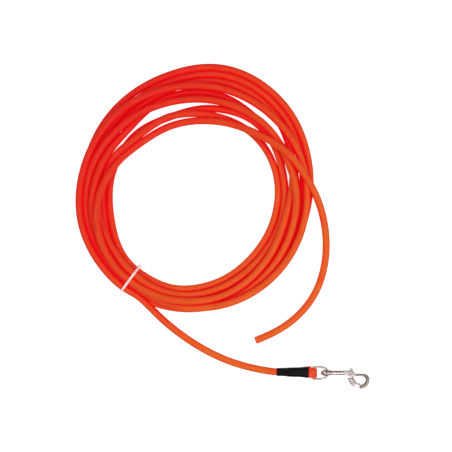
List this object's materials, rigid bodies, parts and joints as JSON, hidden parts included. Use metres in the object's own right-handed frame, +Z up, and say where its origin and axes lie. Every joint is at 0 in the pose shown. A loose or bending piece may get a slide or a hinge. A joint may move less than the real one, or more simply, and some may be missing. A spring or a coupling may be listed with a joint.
{
  "type": "training leash",
  "caption": "Long round coated leash cord wound in a tied coil, cut square at one end, with a black shrink sleeve and a nickel swivel trigger snap hook at the other.",
  "frame": {"origin": "on the surface that the leash lies on, under the middle of the snap fitting's box (sleeve, eye, snap and gate, without the cord)", "axes": "+X along the fitting from the sleeve to the hook, +Y towards the coil, +Z up from the surface"},
  "size_m": [0.2421, 0.2683, 0.0183],
  "materials": {
    "orange_coat": "satin soft plastic coat, neon orange-red",
    "clear_nylon": "natural translucent nylon",
    "black_shrink": "satin black heat-shrink tube",
    "nickel_plate": "bright nickel plating on a cast body",
    "spring_steel": "bright drawn wire"
  },
  "bodies": {
    "root": {"cord_coil": "orange_coat", "cord_snap_stretch": "orange_coat", "cord_free_stretch": "orange_coat", "cord_end_loop": "orange_coat", "coil_tie": "clear_nylon", "shrink_sleeve": "black_shrink", "crimp_band_1": "nickel_plate", "crimp_band_2": "nickel_plate"},
    "eye": {"swivel_eye": "nickel_plate"},
    "snap": {"snap_body": "nickel_plate", "gate_pin": "nickel_plate", "gate_spring": "spring_steel"},
    "gate": {"gate": "nickel_plate"}
  },
  "joints": [
    {"name": "eye_swing", "type": "hinge", "parent": "root", "child": "eye", "pos_m": [-0.0088, 0.0036, 0.005], "axis": [0, 1, 0], "range_deg": [-80, 80]},
    {"name": "snap_swivel", "type": "hinge", "parent": "eye", "child": "snap", "pos_m": [0.00367, 0.0036, 0.00409], "axis": [0.9973, 0, -0.0728], "continuous": true},
    {"name": "gate_swing", "type": "hinge", "parent": "snap", "child": "gate", "pos_m": [0.02391, 0.00285, 0.00261], "axis": [0.0728, 0, 0.9973], "range_deg": [0, 20], "stiffness_Nm_per_rad": 0.03, "springref_deg": -28.65, "deforming": ["gate_spring"]}
  ]
}
